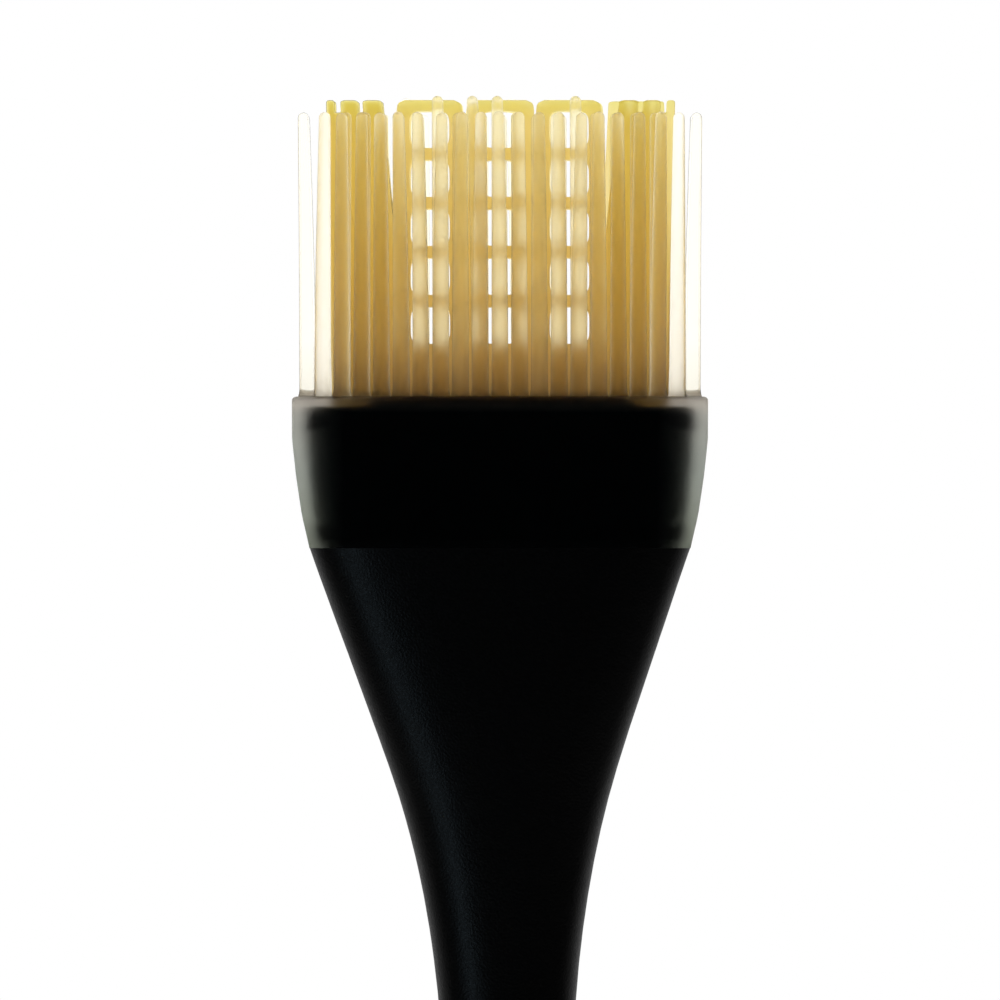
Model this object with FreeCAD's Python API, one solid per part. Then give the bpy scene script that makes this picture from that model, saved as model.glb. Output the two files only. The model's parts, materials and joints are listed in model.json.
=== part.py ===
import FreeCAD, Part
import math
import os

from FreeCAD import Vector

# Silicone brush, standing upright: bristles up along +Z, width along X, thickness along Y.
# The origin is the middle of the handle's butt. All sizes are in millimetres.

# Heights along the brush.
TOTAL_LENGTH = 210.0
TALL_BRISTLE = 31.7
FLAP_LENGTH = 31.3
BRISTLE_LENGTH = 30.0
COLLAR_HEIGHT = 16.0
COLLAR_TOP = TOTAL_LENGTH - TALL_BRISTLE
SEAM = COLLAR_TOP - COLLAR_HEIGHT

# The head stands this far off the handle's shoulder, so that the two never rub.
SEAT_GAP = 0.05
HEAD_BASE = SEAM + SEAT_GAP

# Handle stations, from the butt to the seam: height, half width, half depth, squareness, bow.
# A squareness of 2 is an ellipse and 4 is a rounded rectangle. The bow is the handle's slight
# bend towards +X.
BUTT_ROUND = 9.0
HANDLE_END = (9.5, 5.2, 2.2)
HANDLE_STATIONS = (
    (BUTT_ROUND, *HANDLE_END, 0.0),
    (24.0, 10.6, 6.9, 2.2, 0.10),
    (45.0, 11.1, 8.4, 2.2, 0.35),
    (72.0, 9.4, 7.9, 2.2, 0.65),
    (95.0, 7.3, 6.6, 2.3, 0.82),
    (108.0, 6.95, 6.2, 2.4, 0.80),
    (120.0, 7.85, 6.35, 2.6, 0.69),
    (131.0, 9.8, 6.8, 2.8, 0.52),
    (140.0, 12.35, 7.3, 3.1, 0.32),
    (150.0, 15.8, 7.85, 3.5, 0.15),
    (157.0, 18.25, 8.2, 3.8, 0.04),
    (SEAM, 20.1, 8.5, 4.0, 0.0),
)
BUTT_ANGLES = (12.0, 35.0, 60.0)

# Rubber skin over the handle's rigid core.
SKIN = 1.8
CORE_BOTTOM = BUTT_ROUND - 3.6
FOOT_SHARE = 0.62

# Hanging hole through the handle's end, lined by a ring of the core.
HOLE_HEIGHT = 13.5
HOLE_RADIUS = 4.5
RING_RADIUS = 6.6
BORE_LENGTH = 9.6
MOUTH_DEPTH = 3.0
THROUGH = 40.0

# Tongue on the handle's core, and the socket that it fits in the head.
TONGUE_WIDTH = 26.0
TONGUE_DEPTH = 7.0
TONGUE_HEIGHT = 10.0
TONGUE_ROUND = 1.5
TONGUE_CLEARANCE = 0.15
TONGUE_ROOT = 6.0
RIB_HEIGHT = 4.0
RIB_LENGTH = 10.0
RIB_PROUD = 0.10
RIB_RADIUS = 0.8

# Collar stations above the seam: height, half width, half depth.
COLLAR_STATIONS = (
    (SEAT_GAP, 20.15, 8.52),
    (3.5, 20.95, 8.85),
    (7.5, 21.55, 9.05),
    (11.5, 21.98, 9.22),
    (COLLAR_HEIGHT, 22.0, 9.25),
)
HEAD_SQUARENESS = 4.0
COLLAR_EDGE = 0.4

# Head core inside the collar: the silicone is thicker at the top than at the seam.
CORE_TOP = COLLAR_HEIGHT - 1.1
WALL_AT_SEAM = 1.0
WALL_AT_TOP = 1.55
LAND_TOP = COLLAR_HEIGHT - 0.4
# Half width and half depth of the land where it leaves the insert and at its top.
LAND_FOOT = (14.6, 7.2)
LAND_HEAD = (10.0, 6.7)
LAND_SQUARENESS = 9.0

# Amber bed that the flaps are moulded on, in a pocket of the head core.
BED_WIDTH = 38.0
BED_DEPTH = 6.6
BED_THICKNESS = 1.6
BED_ROUND = 1.2

# Rows of bristles and flaps, front to back.
ROW_PITCH = 2.35
BRISTLE_PITCH = 2.08
ROOT_RADIUS = 0.88
TIP_RADIUS = 0.58
ROOT_GAP = 0.05
HINGE_HEIGHT = COLLAR_TOP + ROOT_GAP + ROOT_RADIUS
END_BRISTLE = 20.3
OUTER_COUNT = 8
INNER_COUNT = 9
TALL_FRONT = (-3, -1, 0, 4)
TALL_BACK = (-5, 1, 3)

# Flaps: a side one at each end, with two notches in its tip, and three with holes between them.
FLAP_THICKNESS = 1.1
FLAP_CORNER = 0.9
# Places of a side flap's edges. The inner one runs straight up to the bend, then slants out.
SIDE_FLAP_INNER_ROOT = 11.1
SIDE_FLAP_INNER_TIP = 12.5
SIDE_FLAP_BEND = 17.0
SIDE_FLAP_OUTER_ROOT = 17.8
SIDE_FLAP_OUTER_TIP = 18.4
SIDE_FLAP_CORNER = 0.3
NOTCH_DEPTH = 1.3
INNER_NOTCH = 14.8
INNER_NOTCH_WIDTH = 0.45
OUTER_NOTCH = 17.2
OUTER_NOTCH_WIDTH = 0.6
HOLED_FLAP_PITCH = 7.35
HOLED_FLAP_WIDTH = 6.9
HOLE_COUNT = 5
HOLE_WIDTH = 4.2
HOLE_TALL = 3.9
HOLE_CORNER = 1.3
HOLE_PITCH = 5.17
TOP_HOLE = 28.2

SECTION_POINTS = 32


def superellipse(height, half_width, half_depth, squareness, shift=0.0):
    """Closed level outline between an ellipse and a rounded rectangle, shifted along X."""
    points = []
    for i in range(SECTION_POINTS):
        angle = 2 * math.pi * i / SECTION_POINTS
        across = math.cos(angle)
        through = math.sin(angle)
        x = half_width * math.copysign(abs(across) ** (2 / squareness), across)
        y = half_depth * math.copysign(abs(through) ** (2 / squareness), through)
        points.append(Vector(x + shift, y, height))
    curve = Part.BSplineCurve()
    curve.interpolate(points, True)
    return Part.Wire(curve.toShape())


def loft(sections):
    """Smooth solid through level sections, each the numbers that superellipse takes."""
    return Part.makeLoft([superellipse(*section) for section in sections], True)


def rounded_block(width, depth, bottom, top, corner):
    """Upright block with rounded vertical edges, centred on the Z axis."""
    block = Part.makeBox(width, depth, top - bottom, Vector(-width / 2, -depth / 2, bottom))
    upright = [e for e in block.Edges if abs(e.tangentAt(e.FirstParameter).z) > 0.5]
    return block.makeFillet(corner, upright)


def cylinder_along(axis, radius, length, centre):
    """Cylinder centred on a point, along a unit axis."""
    return Part.makeCylinder(radius, length, centre - axis * (length / 2), axis)


def handle_outside():
    """Whole outer shape of the handle, with a rounded butt."""
    half_width, half_depth, squareness = HANDLE_END
    dome = BUTT_ROUND / math.cos(math.radians(BUTT_ANGLES[0]))
    butt = []
    for degrees in BUTT_ANGLES:
        angle = math.radians(degrees)
        height = BUTT_ROUND - dome * math.cos(angle)
        butt.append((height, half_width * math.sin(angle), half_depth * math.sin(angle), squareness))
    return loft(butt + list(HANDLE_STATIONS))


def handle_inside(outside):
    """The rigid core's outer shape: one skin inside the handle's, and flush with it at the ring."""
    sections = []
    for height, half_width, half_depth, squareness, bow in HANDLE_STATIONS:
        sections.append((height, half_width - SKIN, half_depth - SKIN, squareness, bow))
    _, half_width, half_depth, squareness, _ = sections[0]
    foot = (CORE_BOTTOM, half_width * FOOT_SHARE, half_depth * FOOT_SHARE, squareness)
    spine = loft([foot] + sections)
    ring = cylinder_along(Vector(0, 1, 0), RING_RADIUS, THROUGH, Vector(0, 0, HOLE_HEIGHT))
    return spine.fuse(ring.common(outside))


def hanging_bore():
    """The hole that the brush hangs by, opening in a cone at each face of the handle."""
    centre = Vector(0, 0, HOLE_HEIGHT)
    bore = cylinder_along(Vector(0, 1, 0), HOLE_RADIUS, THROUGH, centre)
    for side in (-1, 1):
        start = centre + Vector(0, side * BORE_LENGTH / 2, 0)
        mouth = HOLE_RADIUS + MOUTH_DEPTH
        bore = bore.fuse(Part.makeCone(HOLE_RADIUS, mouth, MOUTH_DEPTH, start, Vector(0, side, 0)))
    return bore


def tongue():
    """Flat tongue that carries the head, with a shallow rib on its front and back."""
    top = SEAM + TONGUE_HEIGHT
    blade = rounded_block(TONGUE_WIDTH, TONGUE_DEPTH, SEAM - TONGUE_ROOT, top, TONGUE_ROUND)
    rim = [e for e in blade.Edges if e.BoundBox.ZMin > top - 0.01]
    blade = blade.makeChamfer(0.6, rim)
    for side in (-1, 1):
        y = side * (TONGUE_DEPTH / 2 + RIB_PROUD - RIB_RADIUS)
        centre = Vector(0, y, SEAM + RIB_HEIGHT)
        blade = blade.fuse(cylinder_along(Vector(1, 0, 0), RIB_RADIUS, RIB_LENGTH, centre))
    return blade


def handle_core(inside):
    """Rigid spine with the tongue above it and the bore in its ring."""
    return inside.fuse(tongue()).cut(hanging_bore()).removeSplitter()


def grip(outside, inside):
    """Soft skin over the core, open at the seam and at the ring."""
    return outside.cut(inside).cut(hanging_bore())


def head_core_outside():
    """Outer shape of the black insert, with the raised land in the middle of its top."""
    sections = []
    for rise, half_width, half_depth in COLLAR_STATIONS:
        share = min(rise, CORE_TOP) / CORE_TOP
        wall = WALL_AT_SEAM + (WALL_AT_TOP - WALL_AT_SEAM) * share
        height = SEAM + min(rise, CORE_TOP)
        sections.append((height, half_width - wall, half_depth - wall, HEAD_SQUARENESS))
    core = loft(sections)
    land = loft([
        (SEAM + CORE_TOP - 1.0, *LAND_FOOT, LAND_SQUARENESS),
        (SEAM + CORE_TOP, *LAND_FOOT, LAND_SQUARENESS),
        (SEAM + LAND_TOP, *LAND_HEAD, LAND_SQUARENESS),
    ])
    return core.fuse(land)


def flap_bed():
    """Amber base plate of the flaps."""
    top = SEAM + CORE_TOP
    return rounded_block(BED_WIDTH, BED_DEPTH, top - BED_THICKNESS, top, BED_ROUND)


def head_core():
    """Black insert with the tongue's socket below and the bed's pocket above."""
    gap = TONGUE_CLEARANCE
    ceiling = SEAM + TONGUE_HEIGHT + 0.2
    socket = rounded_block(
        TONGUE_WIDTH + 2 * gap, TONGUE_DEPTH + 2 * gap, SEAM - 1.0, ceiling, TONGUE_ROUND + gap
    )
    pocket_floor = SEAM + CORE_TOP - BED_THICKNESS
    pocket = rounded_block(BED_WIDTH, BED_DEPTH, pocket_floor, COLLAR_TOP + 1.0, BED_ROUND)
    return head_core_outside().cut(socket).cut(pocket)


def collar():
    """Silicone boot over the insert and the bed, with its rim softened."""
    sections = []
    for rise, half_width, half_depth in COLLAR_STATIONS:
        sections.append((SEAM + rise, half_width, half_depth, HEAD_SQUARENESS))
    boot = loft(sections)
    rim = [e for e in boot.Edges if e.BoundBox.ZMin > COLLAR_TOP - 0.01]
    boot = boot.makeFillet(COLLAR_EDGE, rim)
    below_seat = rounded_block(60.0, 30.0, SEAM - 5.0, HEAD_BASE, 1.0)
    return boot.cut(head_core_outside()).cut(flap_bed()).cut(below_seat)


def bristle(x, y, length):
    """Tapered bristle with a domed tip. Its root is a ball on the row's hinge line."""
    top = COLLAR_TOP + length
    foot = Vector(0, 0, HINGE_HEIGHT - ROOT_RADIUS)
    root = Vector(ROOT_RADIUS, 0, HINGE_HEIGHT)
    shoulder = Vector(TIP_RADIUS, 0, top - TIP_RADIUS)
    tip = Vector(0, 0, top)
    slant = math.sqrt(0.5)
    ball_middle = Vector(ROOT_RADIUS * slant, 0, HINGE_HEIGHT - ROOT_RADIUS * slant)
    dome_middle = Vector(TIP_RADIUS * slant, 0, top - TIP_RADIUS * (1 - slant))
    edges = [
        Part.Arc(foot, ball_middle, root).toShape(),
        Part.LineSegment(root, shoulder).toShape(),
        Part.Arc(shoulder, dome_middle, tip).toShape(),
        Part.LineSegment(tip, foot).toShape(),
    ]
    half_section = Part.Face(Part.Wire(edges))
    solid = half_section.revolve(Vector(0, 0, 0), Vector(0, 0, 1), 360)
    solid.translate(Vector(x, y, 0))
    return solid


def bristle_row(y, count, tall=(), ends=False):
    """Bristles at every pitch from -count to count, the tall ones longer, and two end ones."""
    solids = []
    for k in range(-count, count + 1):
        length = TALL_BRISTLE if k in tall else BRISTLE_LENGTH
        solids.append(bristle(k * BRISTLE_PITCH, y, length))
    if ends:
        solids += end_bristles(y)
    return solids


def end_bristles(y):
    """The two bristles at the narrow sides of a row."""
    return [bristle(side * END_BRISTLE, y, BRISTLE_LENGTH) for side in (-1, 1)]


def bar_through(x, y, height, width, tall, corner):
    """Rounded rectangular bar along Y, to cut an opening through a flap."""
    bar = Part.makeBox(width, 4.0, tall, Vector(x - width / 2, y - 2.0, height - tall / 2))
    along = [e for e in bar.Edges if abs(e.tangentAt(e.FirstParameter).y) > 0.5]
    return bar.makeFillet(corner, along)


def flap(y, left, right, corner):
    """Upright amber flap between its left and right edges, each a list of (x, height) upwards.

    The root is a half round bar on the row's hinge line.
    """
    half = FLAP_THICKNESS / 2
    top = COLLAR_TOP + FLAP_LENGTH
    outline = [Vector(x, y - half, height) for x, height in left + right[::-1] + left[:1]]
    blade = Part.Face(Part.makePolygon(outline)).extrude(Vector(0, FLAP_THICKNESS, 0))
    corners = [
        e for e in blade.Edges
        if abs(e.tangentAt(e.FirstParameter).y) > 0.5 and e.BoundBox.ZMin > top - 0.01
    ]
    blade = blade.makeFillet(corner, corners)
    width = right[0][0] - left[0][0]
    middle = Vector((left[0][0] + right[0][0]) / 2, y, HINGE_HEIGHT)
    bar = cylinder_along(Vector(1, 0, 0), half, width, middle)
    return blade.fuse(bar).removeSplitter()


def side_flap(side, y):
    """Flap at one end of the row, with two notches that leave three teeth of unequal width."""
    top = COLLAR_TOP + FLAP_LENGTH
    inner = [
        (side * SIDE_FLAP_INNER_ROOT, HINGE_HEIGHT),
        (side * SIDE_FLAP_INNER_ROOT, COLLAR_TOP + SIDE_FLAP_BEND),
        (side * SIDE_FLAP_INNER_TIP, top),
    ]
    outer = [(side * SIDE_FLAP_OUTER_ROOT, HINGE_HEIGHT), (side * SIDE_FLAP_OUTER_TIP, top)]
    left, right = (inner, outer) if side > 0 else (outer, inner)
    solid = flap(y, left, right, SIDE_FLAP_CORNER)
    for place, width in ((INNER_NOTCH, INNER_NOTCH_WIDTH), (OUTER_NOTCH, OUTER_NOTCH_WIDTH)):
        notch = bar_through(side * place, y, top, width, 2 * NOTCH_DEPTH, width * 0.45)
        solid = solid.cut(notch)
    return solid


def holed_flap(x, y):
    """Middle flap with a ladder of holes."""
    left, right = (
        [(edge, HINGE_HEIGHT), (edge, COLLAR_TOP + FLAP_LENGTH)]
        for edge in (x - HOLED_FLAP_WIDTH / 2, x + HOLED_FLAP_WIDTH / 2)
    )
    solid = flap(y, left, right, FLAP_CORNER)
    for i in range(HOLE_COUNT):
        height = COLLAR_TOP + TOP_HOLE - i * HOLE_PITCH
        solid = solid.cut(bar_through(x, y, height, HOLE_WIDTH, HOLE_TALL, HOLE_CORNER))
    return solid


def flap_row(y):
    """The five flaps of one row, left to right."""
    holed = [holed_flap(k * HOLED_FLAP_PITCH, y) for k in (-1, 0, 1)]
    return [side_flap(-1, y)] + holed + [side_flap(1, y)]


def write(node, solids):
    """Write one node's solids to its own STEP file."""
    shape = solids[0] if len(solids) == 1 else Part.makeCompound(solids)
    shape.exportStep(os.path.join("parts", node + ".step"))
    volume = sum(s.Volume for s in solids)
    print(f"{node:24s} {len(solids):3d} solids {volume:10.2f} mm3 valid {shape.isValid()}")


def main():
    os.makedirs("parts", exist_ok=True)
    outside = handle_outside()
    inside = handle_inside(outside)
    write("handle_core", [handle_core(inside)])
    write("grip", [grip(outside, inside)])
    write("head_core", [head_core()])
    write("collar", [collar()])
    write("flap_bed", [flap_bed()])
    for name, side, tall in (("front", -1, TALL_FRONT), ("back", 1, TALL_BACK)):
        write(f"{name}_outer_bristles", bristle_row(side * 3 * ROW_PITCH, OUTER_COUNT))
        write(f"{name}_inner_bristles", bristle_row(side * 2 * ROW_PITCH, INNER_COUNT, tall))
        write(f"{name}_end_bristles", end_bristles(side * ROW_PITCH))
        for number, solid in enumerate(flap_row(side * ROW_PITCH), 1):
            write(f"{name}_flap_{number}", [solid])
    write("middle_bristles", bristle_row(0.0, OUTER_COUNT, ends=True))


main()
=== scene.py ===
import json
import math
import random

import bpy
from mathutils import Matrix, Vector


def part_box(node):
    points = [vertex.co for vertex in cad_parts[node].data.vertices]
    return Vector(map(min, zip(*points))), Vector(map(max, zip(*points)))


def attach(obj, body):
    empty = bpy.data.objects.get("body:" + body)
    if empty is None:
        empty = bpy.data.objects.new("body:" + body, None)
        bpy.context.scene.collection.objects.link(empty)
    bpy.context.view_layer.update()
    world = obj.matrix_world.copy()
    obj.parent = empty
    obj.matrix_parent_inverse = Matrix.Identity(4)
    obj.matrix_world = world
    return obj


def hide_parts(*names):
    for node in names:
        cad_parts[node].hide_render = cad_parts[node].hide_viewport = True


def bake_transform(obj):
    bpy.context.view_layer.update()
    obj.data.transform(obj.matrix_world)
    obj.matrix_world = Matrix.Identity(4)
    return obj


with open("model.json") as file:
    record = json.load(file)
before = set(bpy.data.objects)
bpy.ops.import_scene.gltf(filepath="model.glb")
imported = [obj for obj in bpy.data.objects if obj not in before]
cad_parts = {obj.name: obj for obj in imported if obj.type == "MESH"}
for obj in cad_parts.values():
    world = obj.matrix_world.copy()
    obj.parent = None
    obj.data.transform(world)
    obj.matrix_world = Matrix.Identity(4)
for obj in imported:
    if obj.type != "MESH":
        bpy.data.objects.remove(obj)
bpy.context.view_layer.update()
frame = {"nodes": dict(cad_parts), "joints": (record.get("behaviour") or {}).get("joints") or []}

# Silicone brush, bristles up. Lengths are in metres, and MM turns millimetres into them.
MM = 0.001

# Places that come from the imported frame. The seam is the collar's lower edge.
COLLAR_LOW, COLLAR_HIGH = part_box("collar")
COLLAR_TOP = COLLAR_HIGH.z
SEAM = COLLAR_LOW.z
BED_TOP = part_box("flap_bed")[1].z
ROW_OF = {j["child"]: j["pos_m"][1] for j in frame["joints"] if j["type"] == "hinge"}

# Clear bristles.
BRISTLE_PITCH = 2.08 * MM
ROOT_RADIUS = 0.88 * MM
TIP_RADIUS = 0.60 * MM
ROOT_FLARE = 0.14 * MM
FLARE_HEIGHT = 0.9 * MM
ROOT_DEPTH = 0.3 * MM
BRISTLE_SIDES = 20
SHAFT_RINGS = 12
DOME_RINGS = 4
# Exponent of the radius's way from root to tip: above 1, the shaft narrows late.
TAPER_CURVE = 1.5
# A bristle leans by up to LEAN more than its share of its neighbour's lean. Along Y it leans less.
LEAN = 0.30 * MM
LEAN_SHARED = 0.45
LEAN_ALONG_Y = 0.6
END_SPLAY = 0.45 * MM
# Exponent of a lean's way from root to tip: above 1, most of it comes near the tip.
LEAN_CURVE = 1.6
OUTER_COUNT = 8
INNER_COUNT = 9
END_BRISTLE = 20.3 * MM
BRISTLE_LENGTH = 30.0 * MM
BRISTLE_SPREAD = 0.08 * MM
TALL_BRISTLE = 31.7 * MM
# The taller bristles of each inner row, with how far each tip leans along X.
TALL_FRONT = {-3: -0.36 * MM, -1: -0.85 * MM, 0: -0.3 * MM, 4: -0.37 * MM}
TALL_BACK = {-5: 0.5 * MM, 1: -0.85 * MM, 3: -0.8 * MM}

# Amber flaps.
FLAP_LENGTH = 31.3 * MM
FLAP_ROOT_THICKNESS = 1.25 * MM
FLAP_TIP_THICKNESS = 0.95 * MM
FLAP_CORNER = 0.9 * MM
FLAP_EDGE = 0.3 * MM
FLAP_LEAN = 0.2 * MM
FLAP_LEAN_ALONG_Y = 0.5
# Flaps that lean more than the rest, with how far their tip is off along X.
BENT_FLAPS = {"back_flap_5": -1.1 * MM}
HOLED_WIDTH = 6.9 * MM
HOLE_COUNT = 5
HOLE_WIDTH = 4.2 * MM
HOLE_TALL = 3.9 * MM
HOLE_PITCH = 5.17 * MM
TOP_HOLE = 28.2 * MM
HOLE_SQUARENESS = 4.5
HOLE_POINTS_PER_SIDE = 8
# A side flap's inner edge runs straight up to the bend, then slants out.
SIDE_FLAP_INNER_ROOT = 11.1 * MM
SIDE_FLAP_INNER_TIP = 12.5 * MM
SIDE_FLAP_BEND = 17.0 * MM
SIDE_FLAP_OUTER_ROOT = 17.8 * MM
SIDE_FLAP_OUTER_TIP = 18.4 * MM
SIDE_FLAP_CORNER = 0.3 * MM
NOTCH_DEPTH = 1.3 * MM
# Edges of the two notches in a side flap, from the brush's middle outwards.
NOTCHES = ((14.575 * MM, 15.025 * MM), (16.9 * MM, 17.5 * MM))

# Collar and the black core in it, all in millimetres. The collar starts a small gap above the
# handle. Stations give the height above the handle, the half width and the half depth.
SEAT_GAP = 0.05
COLLAR_STATIONS = (
    (SEAT_GAP, 20.15, 8.52),
    (3.5, 20.95, 8.85),
    (7.5, 21.55, 9.05),
    (11.5, 21.98, 9.22),
    (16.0, 22.0, 9.25),
)
CORE_TOP = 14.9
WALL_AT_SEAM = 1.0
WALL_AT_TOP = 1.55
CORE_GAP = 0.04
# How far the lip reaches down so that no light shows through the joint with the handle.
SEAT_OVERLAP = 0.045
LIP = SEAT_GAP - SEAT_OVERLAP
# Stations of the core's raised land.
LAND = ((14.9, 14.6, 7.2), (15.6, 10.0, 6.7))
LAND_SQUARENESS = 9.0
COLLAR_EDGE = 0.45
HEAD_SQUARENESS = 4.0
LOFT_SIDES = 96

# The photographed view: how wide it is at the brush, and its middle above the seam.
VIEW_WIDTH = 105.77 * MM
VIEW_ABOVE_SEAM = 5.03 * MM
CAMERA_DISTANCE = 1.6

# Light of the backdrop on the silicone, on plain surfaces, and of the room in front.
BACK_LIGHT = 1.25
FILL_LIGHT = 0.3
RIM_LIGHT = 0.4
ROOM_LIGHT = 0.007

# Pale floor. The dim room would leave it grey, so it glows by itself when seen, and throws less
# than that on the brush.
FLOOR_RADIUS = 0.45
FLOOR_SIDES = 96
FLOOR_GLOW = 0.5
FLOOR_BOUNCE = 0.15


def mesh_object(name, points, faces):
    """New smooth object from points and faces, linked to the scene."""
    mesh = bpy.data.meshes.new(name)
    mesh.from_pydata(points, [], faces)
    mesh.validate()
    mesh.polygons.foreach_set("use_smooth", [True] * len(mesh.polygons))
    mesh.update()
    made = bpy.data.objects.new(name, mesh)
    bpy.context.scene.collection.objects.link(made)
    return made


def skin_rings(rings, points, faces, close_end=True):
    """Add a tube through rings of equal point counts to the points and faces, closed at its start."""
    base = len(points)
    count = len(rings[0])
    for ring in rings:
        points.extend(ring)
    for r in range(len(rings) - 1):
        for i in range(count):
            j = (i + 1) % count
            a = base + r * count
            b = a + count
            faces.append((a + i, a + j, b + j, b + i))
    faces.append(tuple(base + i for i in reversed(range(count))))
    if close_end:
        last = base + (len(rings) - 1) * count
        faces.append(tuple(last + i for i in range(count)))


def oval(height, half_width, half_depth, squareness):
    """Level superellipse ring, between an ellipse and a rounded rectangle."""
    ring = []
    for i in range(LOFT_SIDES):
        angle = 2 * math.pi * (i + 0.5) / LOFT_SIDES
        c, s = math.cos(angle), math.sin(angle)
        x = half_width * math.copysign(abs(c) ** (2 / squareness), c)
        y = half_depth * math.copysign(abs(s) ** (2 / squareness), s)
        ring.append((x, y, height))
    return ring


def apply_modifiers(piece):
    """Replace the piece's mesh by what its modifiers make of it."""
    graph = bpy.context.evaluated_depsgraph_get()
    mesh = bpy.data.meshes.new_from_object(piece.evaluated_get(graph), depsgraph=graph)
    piece.modifiers.clear()
    piece.data = mesh


# ---------------------------------------------------------------- bristles

def bristle_profile(length):
    """(height above the collar, radius) from the sunken root to the domed tip."""
    profile = [(-ROOT_DEPTH, ROOT_RADIUS + ROOT_FLARE)]
    for share in (0.0, 0.12, 0.3, 0.55, 1.0):
        flare = ROOT_FLARE * (1 - share) ** 2
        profile.append((share * FLARE_HEIGHT, ROOT_RADIUS + flare))
    dome = length - TIP_RADIUS
    for i in range(1, SHAFT_RINGS + 1):
        share = i / SHAFT_RINGS
        height = FLARE_HEIGHT + (dome - FLARE_HEIGHT) * share
        profile.append((height, ROOT_RADIUS + (TIP_RADIUS - ROOT_RADIUS) * share ** TAPER_CURVE))
    for i in range(1, DOME_RINGS + 1):
        angle = math.pi / 2 * i / (DOME_RINGS + 0.35)
        profile.append((dome + TIP_RADIUS * math.sin(angle), TIP_RADIUS * math.cos(angle)))
    return profile


def add_bristle(points, faces, x, y, length, lean_x, lean_y):
    """Add one bristle, its tip moved sideways by the lean."""
    rings = []
    for height, radius in bristle_profile(length):
        share = max(height, 0.0) / length
        shift_x = lean_x * share ** LEAN_CURVE
        shift_y = lean_y * share ** LEAN_CURVE
        ring = []
        for i in range(BRISTLE_SIDES):
            angle = 2 * math.pi * i / BRISTLE_SIDES
            px = x + shift_x + radius * math.cos(angle)
            py = y + shift_y + radius * math.sin(angle)
            ring.append((px, py, COLLAR_TOP + height))
        rings.append(ring)
    skin_rings(rings, points, faces)


def bristle_row(node, body, count, tall, ends, material, dice):
    """One row of clear bristles, counted from the middle, with or without a pair at its ends."""
    y = ROW_OF[body]
    points, faces = [], []
    drift = 0.0
    for k in range(-count, count + 1):
        drift = LEAN_SHARED * drift + dice.uniform(-LEAN, LEAN)
        length = TALL_BRISTLE if k in tall else BRISTLE_LENGTH - abs(dice.gauss(0, BRISTLE_SPREAD))
        lean_x = tall.get(k, drift)
        lean_y = dice.uniform(-LEAN, LEAN) * LEAN_ALONG_Y
        add_bristle(points, faces, k * BRISTLE_PITCH, y, length, lean_x, lean_y)
    if ends:
        add_end_bristles(points, faces, y)
    finish_row(node, points, faces, material)


def add_end_bristles(points, faces, y):
    """The two bristles at the narrow sides, splayed a little outwards."""
    for side in (-1, 1):
        add_bristle(points, faces, side * END_BRISTLE, y, BRISTLE_LENGTH, side * END_SPLAY, 0.0)


def finish_row(node, points, faces, material):
    """Make the row's piece, bake its placement and hide the frame's node that it stands in for."""
    piece = mesh_object("v_" + node, points, faces)
    piece.data.materials.append(material)
    bend_with(piece, node)


def bend_with(piece, node):
    """A piece rooted in the head: bake its placement into its mesh and hide the frame's node that it stands
    in for.
    """
    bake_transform(piece)
    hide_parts(node)


# ---------------------------------------------------------------- flaps

def square_edge(i, per_side):
    """Point i on the edge of the square from -1 to 1, counted from its lower left corner."""
    side, step = divmod(i, per_side)
    u = -1 + 2 * step / per_side
    return ((u, -1), (1, u), (-u, 1), (-1, -u))[side]


def holed_cell(quads, middle, half_tall):
    """Quads of a rectangle with a rounded hole in it."""
    count = 4 * HOLE_POINTS_PER_SIDE
    hole, rim = [], []
    for i in range(count):
        u, v = square_edge(i, HOLE_POINTS_PER_SIDE)
        shrink = (abs(u) ** HOLE_SQUARENESS + abs(v) ** HOLE_SQUARENESS) ** (1 / HOLE_SQUARENESS)
        hole.append((HOLE_WIDTH / 2 * u / shrink, middle + HOLE_TALL / 2 * v / shrink))
        rim.append((HOLED_WIDTH / 2 * u, middle + half_tall * v))
    for i in range(count):
        j = (i + 1) % count
        quads.append((rim[i], rim[j], hole[j], hole[i]))


def grid(quads, columns, rows):
    """Quads of a plain grid between the given columns and rows."""
    for left, right in zip(columns, columns[1:]):
        for low, high in zip(rows, rows[1:]):
            quads.append(((left, low), (right, low), (right, high), (left, high)))


def spread(start, end, steps):
    """Evenly spaced values from start to end."""
    return [start + (end - start) * i / steps for i in range(steps + 1)]


def holed_flap_quads():
    """Outline cells of a flap with a ladder of holes, in X and height above the collar."""
    quads = []
    half_cell = HOLE_PITCH / 2
    columns = spread(-HOLED_WIDTH / 2, HOLED_WIDTH / 2, 8)
    lowest = TOP_HOLE - (HOLE_COUNT - 1) * HOLE_PITCH
    for i in range(HOLE_COUNT):
        holed_cell(quads, lowest + i * HOLE_PITCH, half_cell)
    foot = BED_TOP - COLLAR_TOP
    grid(quads, columns, [foot] + spread(0.0, lowest - half_cell, 4))
    grid(quads, columns, [TOP_HOLE + half_cell, FLAP_LENGTH - 0.15 * MM, FLAP_LENGTH])
    return quads, [(-HOLED_WIDTH / 2, HOLED_WIDTH / 2)]


def side_flap_quads():
    """Outline cells of the right-hand side flap, with two notches in its tip."""
    quads = []
    notches = [edge for notch in NOTCHES for edge in notch]
    edges = [SIDE_FLAP_INNER_TIP] + notches + [SIDE_FLAP_OUTER_TIP]
    teeth = list(zip(edges[0::2], edges[1::2]))
    floor = FLAP_LENGTH - NOTCH_DEPTH
    tooth_rows = spread(floor, FLAP_LENGTH - 0.2 * MM, 4) + [FLAP_LENGTH]
    columns = []
    for left, right in teeth:
        tooth = spread(left, right, 4)
        columns += tooth
        grid(quads, tooth, tooth_rows)
    foot = BED_TOP - COLLAR_TOP
    grid(quads, columns, [foot] + spread(0.0, floor, 16))
    return quads, teeth


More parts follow.
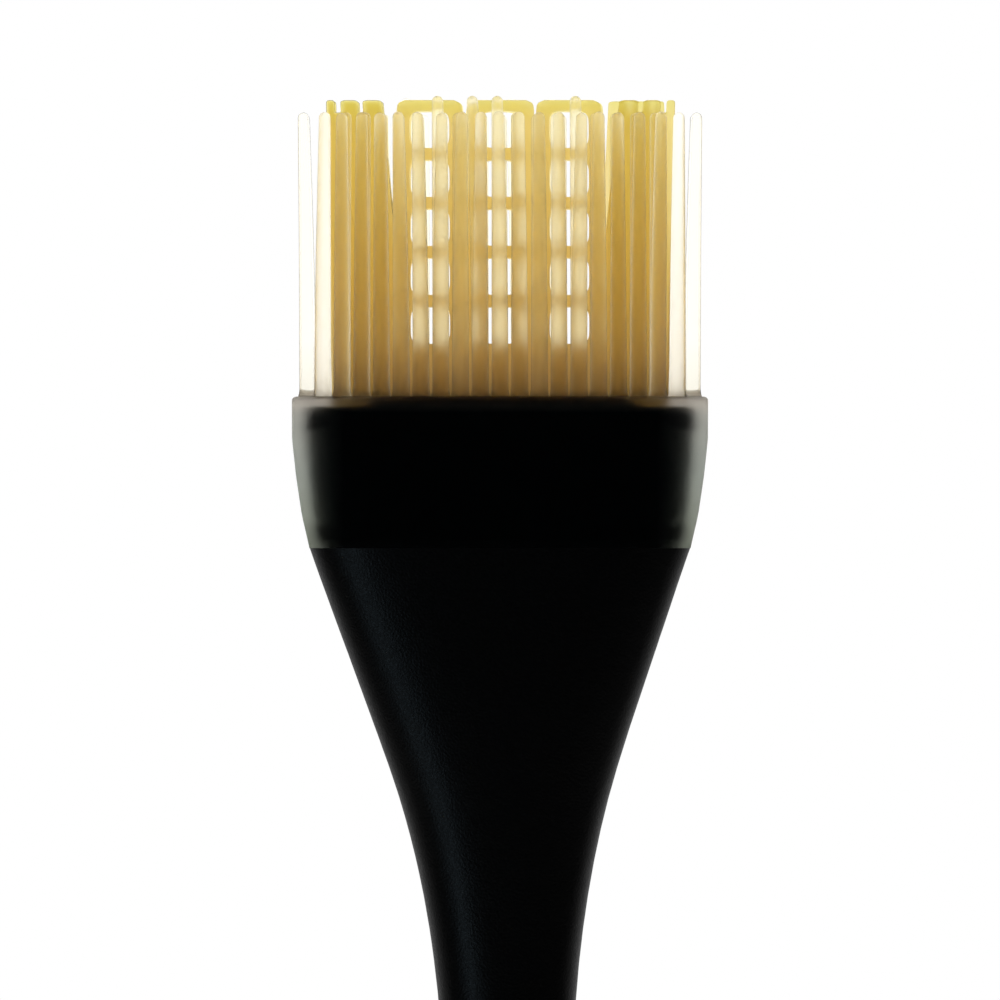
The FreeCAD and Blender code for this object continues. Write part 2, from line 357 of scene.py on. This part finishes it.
def side_flap_place(x, z):
    """Where a point of the side flap's upright grid goes once both edges have their slant."""
    bend = max(0.0, (z - SIDE_FLAP_BEND) / (FLAP_LENGTH - SIDE_FLAP_BEND))
    rise = max(z, 0.0) / FLAP_LENGTH
    inner = SIDE_FLAP_INNER_ROOT + (SIDE_FLAP_INNER_TIP - SIDE_FLAP_INNER_ROOT) * bend
    outer = SIDE_FLAP_OUTER_ROOT + (SIDE_FLAP_OUTER_TIP - SIDE_FLAP_OUTER_ROOT) * rise
    share = (x - SIDE_FLAP_INNER_TIP) / (SIDE_FLAP_OUTER_TIP - SIDE_FLAP_INNER_TIP)
    return inner + (outer - inner) * share


def round_tip(point, tips, corner):
    """Pull a point near a tip's corner in onto the corner's arc."""
    x, z = point
    floor = FLAP_LENGTH - corner
    if z <= floor:
        return point
    for left, right in tips:
        for edge, inward in ((left, 1), (right, -1)):
            centre = edge + inward * corner
            beyond = (centre - x) * inward
            inside_tip = left - 1e-6 <= x <= right + 1e-6
            reach = math.hypot(beyond, z - floor)
            if inside_tip and beyond > 0 and reach > corner:
                return (centre - inward * beyond * corner / reach, floor + (z - floor) * corner / reach)
    return point


def sheet(name, quads, tips, corner):
    """Flat piece at Y 0 made of quads that share their corners, with its tips rounded."""
    index = {}
    points, faces = [], []
    for quad in quads:
        face = []
        for quad_corner in quad:
            x, z = round_tip(quad_corner, tips, corner)
            key = (round(x * 1e7), round(z * 1e7))
            if key not in index:
                index[key] = len(points)
                points.append((x, 0.0, z))
            face.append(index[key])
        if len(set(face)) > 2:
            faces.append(tuple(dict.fromkeys(face)))
    return mesh_object(name, points, faces)


def thicken(piece):
    """Give a flat piece the flaps' thickness and soft edges."""
    solid = piece.modifiers.new("thick", "SOLIDIFY")
    solid.thickness = FLAP_ROOT_THICKNESS
    solid.offset = 0.0
    bevel = piece.modifiers.new("edge", "BEVEL")
    bevel.width = FLAP_EDGE
    bevel.segments = 3
    bevel.limit_method = "ANGLE"
    bevel.angle_limit = math.radians(40)
    apply_modifiers(piece)


def flap(node, body, material, dice):
    """Amber flap: a plate with softened edges, thinner at its tip and leaning a little."""
    low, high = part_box(node)
    holed = max(abs(low.x), abs(high.x)) < SIDE_FLAP_INNER_TIP
    quads, tips = holed_flap_quads() if holed else side_flap_quads()
    piece = sheet("v_" + node, quads, tips, FLAP_CORNER if holed else SIDE_FLAP_CORNER)
    thicken(piece)
    side = math.copysign(1, low.x + high.x)
    lean_x = dice.uniform(-FLAP_LEAN, FLAP_LEAN) + BENT_FLAPS.get(node, 0.0)
    lean_y = dice.uniform(-FLAP_LEAN, FLAP_LEAN) * FLAP_LEAN_ALONG_Y
    for vertex in piece.data.vertices:
        share = max(vertex.co.z, 0.0) / FLAP_LENGTH
        thin = 1 + (FLAP_TIP_THICKNESS / FLAP_ROOT_THICKNESS - 1) * share
        if holed:
            vertex.co.x += (low.x + high.x) / 2
        else:
            vertex.co.x = side * side_flap_place(vertex.co.x, vertex.co.z)
        vertex.co.x += lean_x * share ** LEAN_CURVE
        vertex.co.y = ROW_OF[body] + vertex.co.y * thin + lean_y * share ** LEAN_CURVE
        vertex.co.z += COLLAR_TOP
    piece.data.polygons.foreach_set("use_smooth", [True] * len(piece.data.polygons))
    piece.data.materials.clear()
    piece.data.materials.append(material)
    bend_with(piece, node)


# ---------------------------------------------------------------- collar

def station(height):
    """The collar's half width and half depth at a height above the seam, in millimetres."""
    for low, high in zip(COLLAR_STATIONS, COLLAR_STATIONS[1:]):
        if height <= high[0]:
            share = max(0.0, (height - low[0]) / (high[0] - low[0]))
            return low[1] + (high[1] - low[1]) * share, low[2] + (high[2] - low[2]) * share
    return COLLAR_STATIONS[-1][1:]


def collar_heights():
    """Heights of the rings up the collar's wall, in millimetres."""
    return spread(COLLAR_STATIONS[0][0], COLLAR_STATIONS[-1][0] - COLLAR_EDGE, 16)


def head_ring(height, half_width, half_depth, squareness=HEAD_SQUARENESS):
    """Level ring of the head from a station in millimetres."""
    return oval(SEAM + (height - SEAT_GAP) * MM, half_width * MM, half_depth * MM, squareness)


def collar_outside():
    """Rings of the collar's outer wall, its rounded rim and its flat top."""
    top, top_width, top_depth = COLLAR_STATIONS[-1]
    rings = [head_ring(LIP, *station(SEAT_GAP))]
    for height in collar_heights()[1:]:
        rings.append(head_ring(height, *station(height)))
    for i in range(1, 6):
        angle = math.pi / 2 * i / 5
        inset = COLLAR_EDGE * (1 - math.cos(angle))
        height = top - COLLAR_EDGE * (1 - math.sin(angle))
        rings.append(head_ring(height, top_width - inset, top_depth - inset))
    for share in (0.75, 0.45, 0.15):
        rings.append(head_ring(top, top_width * share, top_depth * share))
    return rings


def collar_inside():
    """Rings of the cavity for the black core and its land, a small gap wider than they are."""
    rings = []
    for height in [LIP] + collar_heights()[1:]:
        if height < CORE_TOP:
            wall = WALL_AT_SEAM + (WALL_AT_TOP - WALL_AT_SEAM) * height / CORE_TOP - CORE_GAP
            half_width, half_depth = station(height)
            rings.append(head_ring(height, half_width - wall, half_depth - wall))
    half_width, half_depth = station(CORE_TOP)
    wall = WALL_AT_TOP - CORE_GAP
    rings.append(head_ring(CORE_TOP + CORE_GAP, half_width - wall, half_depth - wall))
    for height, half_width, half_depth in LAND:
        land = (height + CORE_GAP, half_width + CORE_GAP, half_depth + CORE_GAP)
        rings.append(head_ring(*land, LAND_SQUARENESS))
    rings.append(head_ring(land[0], land[1] * 0.5, land[2] * 0.5, LAND_SQUARENESS))
    return rings


def collar(material):
    """Silicone boot: outer wall, softened rim, and the cavity that the black core fills."""
    points, faces = [], []
    skin_rings(list(reversed(collar_inside())) + collar_outside(), points, faces)
    piece = mesh_object("v_collar", points, faces)
    piece.data.materials.append(material)
    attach(piece, "head")
    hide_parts("collar")


# ---------------------------------------------------------------- materials

def new_material(name):
    """Material with a Principled shader. Returns it with its nodes, links and shader."""
    material = bpy.data.materials.new(name)
    material.use_nodes = True
    tree = material.node_tree
    return material, tree.nodes, tree.links, tree.nodes["Principled BSDF"]


def noise(nodes, links, scale, detail=3.0):
    """Noise in the object's own coordinates, scale in features per metre."""
    place = nodes.new("ShaderNodeTexCoord")
    texture = nodes.new("ShaderNodeTexNoise")
    texture.inputs["Scale"].default_value = scale
    texture.inputs["Detail"].default_value = detail
    links.new(place.outputs["Object"], texture.inputs["Vector"])
    return texture.outputs["Fac"]


def place_of(nodes, links):
    """The place in the object's own coordinates, split into its X, Y and Z outputs."""
    place = nodes.new("ShaderNodeTexCoord")
    split = nodes.new("ShaderNodeSeparateXYZ")
    links.new(place.outputs["Object"], split.inputs["Vector"])
    return split.outputs


def map_range(nodes, links, value, low, high, to_low, to_high):
    """Linear map of a value."""
    node = nodes.new("ShaderNodeMapRange")
    node.inputs["From Min"].default_value = low
    node.inputs["From Max"].default_value = high
    node.inputs["To Min"].default_value = to_low
    node.inputs["To Max"].default_value = to_high
    links.new(value, node.inputs["Value"])
    return node.outputs["Result"]


def mottled(nodes, links, scale, low, high, detail=3.0):
    """Value that wanders between low and high."""
    return map_range(nodes, links, noise(nodes, links, scale, detail), 0.3, 0.7, low, high)


def bump(nodes, links, value, distance, strength, shader):
    """Bump from a value into the shader's normal."""
    node = nodes.new("ShaderNodeBump")
    node.inputs["Distance"].default_value = distance
    node.inputs["Strength"].default_value = strength
    links.new(value, node.inputs["Height"])
    links.new(node.outputs["Normal"], shader.inputs["Normal"])


def height_ramp(nodes, links, stops):
    """Colour that changes with height: stops of (height above the collar, colour)."""
    low = COLLAR_TOP + stops[0][0]
    high = COLLAR_TOP + stops[-1][0]
    share = map_range(nodes, links, place_of(nodes, links)["Z"], low, high, 0.0, 1.0)
    ramp = nodes.new("ShaderNodeValToRGB")
    while len(ramp.color_ramp.elements) < len(stops):
        ramp.color_ramp.elements.new(0.5)
    for element, (height, colour) in zip(ramp.color_ramp.elements, stops):
        element.position = (height - stops[0][0]) / (stops[-1][0] - stops[0][0])
        element.color = (*colour, 1.0)
    links.new(share, ramp.inputs["Fac"])
    return ramp.outputs["Color"]


def distance_from_middle(nodes, links, near, far):
    """0 up to the near distance from the brush's middle along X, 1 beyond the far one."""
    size = nodes.new("ShaderNodeMath")
    size.operation = "ABSOLUTE"
    links.new(place_of(nodes, links)["X"], size.inputs[0])
    return map_range(nodes, links, size.outputs["Value"], near, far, 0.0, 1.0)


def blend_values(nodes, links, share, near, far):
    """Mix of two values, all of the near one where share is 0."""
    mix = nodes.new("ShaderNodeMix")
    mix.data_type = "FLOAT"
    mix.clamp_factor = True
    links.new(share, mix.inputs["Factor"])
    links.new(near, mix.inputs["A"])
    links.new(far, mix.inputs["B"])
    return mix.outputs["Result"]


def blend_colours(nodes, links, share, near, far, mode="MIX"):
    """Mix of two colours, each given as an output or as red, green and blue."""
    mix = nodes.new("ShaderNodeMix")
    mix.data_type = "RGBA"
    mix.blend_type = mode
    links.new(share, mix.inputs["Factor"])
    for name, colour in (("A", near), ("B", far)):
        if isinstance(colour, tuple):
            mix.inputs[name].default_value = (*colour, 1.0)
        else:
            links.new(colour, mix.inputs[name])
    return mix.outputs["Result"]


def clear_silicone():
    """Frosted clear silicone, with painted shade that darkens it at the roots, a painted amber glow that
    warms it between the amber flaps, and painted dark outlines where it is seen edge on.

    The bristles at the narrow sides are glassier, and their painted dark outlines are stronger.
    """
    material, nodes, links, shader = new_material("clear_silicone")
    shader.inputs["IOR"].default_value = 1.20
    shader.inputs["Transmission Weight"].default_value = 1.0
    # Both height ramps are painted shade: darker near the collar, where the collar and the rows around keep
    # the backlight off the roots, and lighter up the bristles.
    outer = height_ramp(nodes, links, (
        (0.0, (0.93, 0.92, 0.88)),
        (6 * MM, (0.97, 0.96, 0.93)),
        (32 * MM, (0.975, 0.965, 0.935)),
    ))
    # The inner ramp is warmer by a painted amber glow, the light that the amber flaps would throw on the
    # bristles between them; beyond the flaps the neutral outer ramp takes over.
    inner = height_ramp(nodes, links, (
        (0.0, (0.94, 0.89, 0.79)),
        (6 * MM, (0.967, 0.937, 0.845)),
        (32 * MM, (0.980, 0.962, 0.875)),
    ))
    past_amber_glow = distance_from_middle(nodes, links, 18.0 * MM, 19.3 * MM)
    at_end = distance_from_middle(nodes, links, 19.3 * MM, 19.5 * MM)
    colour = blend_colours(nodes, links, past_amber_glow, inner, outer)
    # Painted shade: where the surface is seen edge on, the colour is multiplied towards dark grey. This draws
    # dark outlines along every bristle, faintly on most of them and strongly on the end bristles.
    tilt = nodes.new("ShaderNodeLayerWeight")
    tilt.inputs["Blend"].default_value = 0.5
    faint_edge_shade = map_range(nodes, links, tilt.outputs["Facing"], 0.78, 1.0, 0.0, 0.35)
    strong_edge_shade = map_range(nodes, links, tilt.outputs["Facing"], 0.70, 1.0, 0.0, 1.0)
    edge = blend_values(nodes, links, at_end, faint_edge_shade, strong_edge_shade)
    colour = blend_colours(nodes, links, edge, colour, (0.26, 0.27, 0.29), "MULTIPLY")
    links.new(colour, shader.inputs["Base Color"])
    frosted = mottled(nodes, links, 900, 0.68, 0.82)
    glassy = mottled(nodes, links, 900, 0.12, 0.20)
    links.new(blend_values(nodes, links, at_end, frosted, glassy), shader.inputs["Roughness"])
    bump(nodes, links, noise(nodes, links, 1500, 2.0), 0.00002, 0.1, shader)
    return material


def amber_silicone():
    """Amber silicone, with painted shade that makes it browner and darker towards the roots and yellower
    towards the tips, and painted shade that darkens the side flaps.
    """
    material, nodes, links, shader = new_material("amber_silicone")
    shader.inputs["IOR"].default_value = 1.41
    shader.inputs["Transmission Weight"].default_value = 0.9
    # Painted shade: the ramp browns and darkens the amber towards the roots, where the black core and the
    # rows around keep the backlight off, and lightens it towards the tips.
    colour = height_ramp(nodes, links, (
        (-2 * MM, (0.60, 0.51, 0.34)),
        (1.5 * MM, (0.69, 0.55, 0.31)),
        (5 * MM, (0.80, 0.63, 0.32)),
        (12 * MM, (0.90, 0.72, 0.33)),
        (22 * MM, (0.95, 0.79, 0.38)),
        (29 * MM, (0.97, 0.83, 0.42)),
        (31.3 * MM, (0.95, 0.87, 0.38)),
    ))
    # Painted shade: the side flaps have no holes for the light to come through, so they are multiplied darker
    # and less yellow than the holed flaps.
    side_flap_shade = distance_from_middle(nodes, links, 11.0 * MM, 12.0 * MM)
    colour = blend_colours(nodes, links, side_flap_shade, colour, (0.925, 0.91, 0.73), "MULTIPLY")
    links.new(colour, shader.inputs["Base Color"])
    links.new(mottled(nodes, links, 700, 0.30, 0.42), shader.inputs["Roughness"])
    bump(nodes, links, noise(nodes, links, 1200, 2.0), 0.00003, 0.3, shader)
    return material


def collar_silicone():
    """Frosted translucent silicone, grey and warmer at the top, with painted shade that makes it near black
    where it backs the core.
    """
    material, nodes, links, shader = new_material("collar_silicone")
    shader.inputs["IOR"].default_value = 1.17
    shader.inputs["Transmission Weight"].default_value = 0.98
    lit = height_ramp(nodes, links, (
        (-16 * MM, (0.40, 0.42, 0.35)),
        (-8 * MM, (0.44, 0.46, 0.42)),
        (-2 * MM, (0.48, 0.48, 0.44)),
        (0.0, (0.55, 0.50, 0.45)),
    ))
    height = place_of(nodes, links)["Z"]
    rim = map_range(nodes, links, height, COLLAR_TOP - 1.7 * MM, COLLAR_TOP - 0.9 * MM, 0.0, 1.0)
    # Painted shade: over the black core the silicone is given a near-black colour. Only the sides beyond the
    # core and the rim above it keep the lit colour.
    clear_of_core = nodes.new("ShaderNodeMath")
    clear_of_core.operation = "MAXIMUM"
    links.new(distance_from_middle(nodes, links, 16.5 * MM, 20.2 * MM), clear_of_core.inputs[0])
    links.new(rim, clear_of_core.inputs[1])
    colour = blend_colours(nodes, links, clear_of_core.outputs["Value"], (0.03, 0.055, 0.065), lit)
    links.new(colour, shader.inputs["Base Color"])
    links.new(mottled(nodes, links, 500, 0.78, 0.88), shader.inputs["Roughness"])
    bump(nodes, links, noise(nodes, links, 2500, 3.0), 0.00004, 0.3, shader)
    return material


def soft_touch():
    """Black soft-touch rubber with a fine matt grain."""
    material, nodes, links, shader = new_material("soft_touch")
    shader.inputs["Specular IOR Level"].default_value = 0.3
    patch = noise(nodes, links, 120, 4.0)
    colour = blend_colours(nodes, links, patch, (0.0012, 0.0013, 0.0016), (0.0028, 0.0030, 0.0035))
    links.new(colour, shader.inputs["Base Color"])
    links.new(mottled(nodes, links, 4000, 0.28, 0.42, 2.0), shader.inputs["Roughness"])
    bump(nodes, links, noise(nodes, links, 4200, 2.0), 0.00006, 0.7, shader)
    return material


def black_plastic(name, colour, shine, low, high):
    """Moulded black plastic with faint flow marks, its roughness between low and high."""
    material, nodes, links, shader = new_material(name)
    shader.inputs["Specular IOR Level"].default_value = shine
    flow = noise(nodes, links, 260, 5.0)
    paler = tuple(c * 1.6 for c in colour)
    links.new(blend_colours(nodes, links, flow, colour, paler), shader.inputs["Base Color"])
    rough = map_range(nodes, links, flow, 0.3, 0.7, low, high)
    links.new(rough, shader.inputs["Roughness"])
    bump(nodes, links, noise(nodes, links, 3000, 3.0), 0.00002, 0.25, shader)
    return material


def dress_cad_node(node, material):
    """Give a carried-over CAD node its material."""
    piece = frame["nodes"][node]
    for slot in piece.material_slots:
        slot.material = material


# ---------------------------------------------------------------- stage

def pale_floor():
    """Pale round floor that fades out at its rim."""
    rings = []
    for share in (0.02, 0.25, 0.5, 0.75, 1.0):
        ring = []
        for i in range(FLOOR_SIDES):
            angle = 2 * math.pi * i / FLOOR_SIDES
            radius = FLOOR_RADIUS * share
            ring.append((radius * math.cos(angle), radius * math.sin(angle), 0.0))
        rings.append(ring)
    points, faces = [], []
    skin_rings(rings, points, faces, close_end=False)
    floor = mesh_object("floor", points, faces)
    material, nodes, links, shader = new_material("pale_floor")
    shader.inputs["Base Color"].default_value = (0.86, 0.86, 0.85, 1)
    shader.inputs["Roughness"].default_value = 0.7
    shader.inputs["Emission Color"].default_value = (1.0, 1.0, 0.99, 1)
    rays = nodes.new("ShaderNodeLightPath")
    glow = map_range(nodes, links, rays.outputs["Is Camera Ray"], 0.0, 1.0, FLOOR_BOUNCE, FLOOR_GLOW)
    links.new(glow, shader.inputs["Emission Strength"])
    place = nodes.new("ShaderNodeTexCoord")
    reach = nodes.new("ShaderNodeVectorMath")
    reach.operation = "LENGTH"
    links.new(place.outputs["Object"], reach.inputs[0])
    fade = map_range(nodes, links, reach.outputs["Value"], FLOOR_RADIUS * 0.35, FLOOR_RADIUS * 0.98, 1.0, 0.0)
    links.new(fade, shader.inputs["Alpha"])
    floor.data.materials.append(material)


def studio():
    """Blown-out backdrop behind the brush and a dark room in front, so that black stays black."""
    world = bpy.data.worlds.new("studio")
    bpy.context.scene.world = world
    world.use_nodes = True
    nodes, links = world.node_tree.nodes, world.node_tree.links
    background = nodes["Background"]
    place = nodes.new("ShaderNodeTexCoord")
    split = nodes.new("ShaderNodeSeparateXYZ")
    links.new(place.outputs["Generated"], split.inputs["Vector"])
    surface = map_range(nodes, links, split.outputs["Y"], 0.0, 0.9, ROOM_LIGHT, RIM_LIGHT)
    through = map_range(nodes, links, split.outputs["Y"], -0.9, 0.1, FILL_LIGHT, BACK_LIGHT)
    rays = nodes.new("ShaderNodeLightPath")
    white = nodes.new("ShaderNodeValue")
    white.outputs["Value"].default_value = 1.0
    passed = blend_values(nodes, links, rays.outputs["Transmission Depth"], surface, through)
    level = blend_values(nodes, links, rays.outputs["Is Camera Ray"], passed, white.outputs["Value"])
    links.new(level, background.inputs["Strength"])
    background.inputs["Color"].default_value = (1, 1, 1, 1)


def strip_light(name, azimuth, elevation, distance, width, tall, power, colour):
    """Soft strip aimed at the brush from the given angles in degrees, which the camera can't see."""
    light = bpy.data.lights.new(name, "AREA")
    light.shape = "RECTANGLE"
    light.size = width
    light.size_y = tall
    light.energy = power
    light.color = colour
    lamp = bpy.data.objects.new(name, light)
    bpy.context.scene.collection.objects.link(lamp)
    a, e = math.radians(azimuth), math.radians(elevation)
    target = Vector((0, 0, SEAM * 0.8))
    away = Vector((math.sin(a) * math.cos(e), -math.cos(a) * math.cos(e), math.sin(e)))
    lamp.location = target + away * distance
    lamp.rotation_euler = away.to_track_quat("Z", "Y").to_euler()
    lamp.visible_camera = False
    lamp.visible_transmission = False


def camera():
    """Level view of the front through a long lens."""
    data = bpy.data.cameras.new("camera")
    data.sensor_width = 36.0
    data.lens = data.sensor_width * CAMERA_DISTANCE / VIEW_WIDTH
    data.clip_start = 0.1
    data.clip_end = 20.0
    made = bpy.data.objects.new("camera", data)
    bpy.context.scene.collection.objects.link(made)
    made.location = (0, -CAMERA_DISTANCE, SEAM + VIEW_ABOVE_SEAM)
    made.rotation_euler = (math.radians(90), 0, 0)
    bpy.context.scene.camera = made


# ---------------------------------------------------------------- the brush

def build_brush():
    """All pieces of the brush, with their materials."""
    dice = random.Random(11)
    clear = clear_silicone()
    amber = amber_silicone()
    collar(collar_silicone())
    for name, tall in (("front", TALL_FRONT), ("back", TALL_BACK)):
        bristle_row(f"{name}_outer_bristles", f"{name}_outer_row", OUTER_COUNT, {}, False, clear, dice)
        bristle_row(f"{name}_inner_bristles", f"{name}_inner_row", INNER_COUNT, tall, False, clear, dice)
        row = f"{name}_flap_row"
        points, faces = [], []
        add_end_bristles(points, faces, ROW_OF[row])
        finish_row(f"{name}_end_bristles", points, faces, clear)
        for number in range(1, 6):
            flap(f"{name}_flap_{number}", row, amber, dice)
    bristle_row("middle_bristles", "middle_row", OUTER_COUNT, {}, True, clear, dice)
    dress_cad_node("grip", soft_touch())
    core = black_plastic("core_plastic", (0.006, 0.006, 0.007), shine=0.5, low=0.25, high=0.4)
    insert = black_plastic("insert_plastic", (0.0004, 0.0005, 0.0012), shine=0.08, low=0.3, high=0.45)
    dress_cad_node("handle_core", core)
    dress_cad_node("head_core", insert)
    dress_cad_node("flap_bed", amber)


def set_up_render():
    """Enough bounces for light to pass through every row of silicone, and plain colours."""
    scene = bpy.context.scene
    scene.view_settings.view_transform = "Standard"
    scene.cycles.max_bounces = 40
    scene.cycles.transmission_bounces = 40
    scene.cycles.transparent_max_bounces = 40
    scene.cycles.glossy_bounces = 16
    scene.cycles.diffuse_bounces = 4


camera()
studio()
pale_floor()
strip_light(
    "left_strip", azimuth=-37, elevation=-8, distance=1.0,
    width=0.08, tall=0.5, power=0.40, colour=(0.62, 0.85, 1.0),
)
build_brush()
set_up_render()
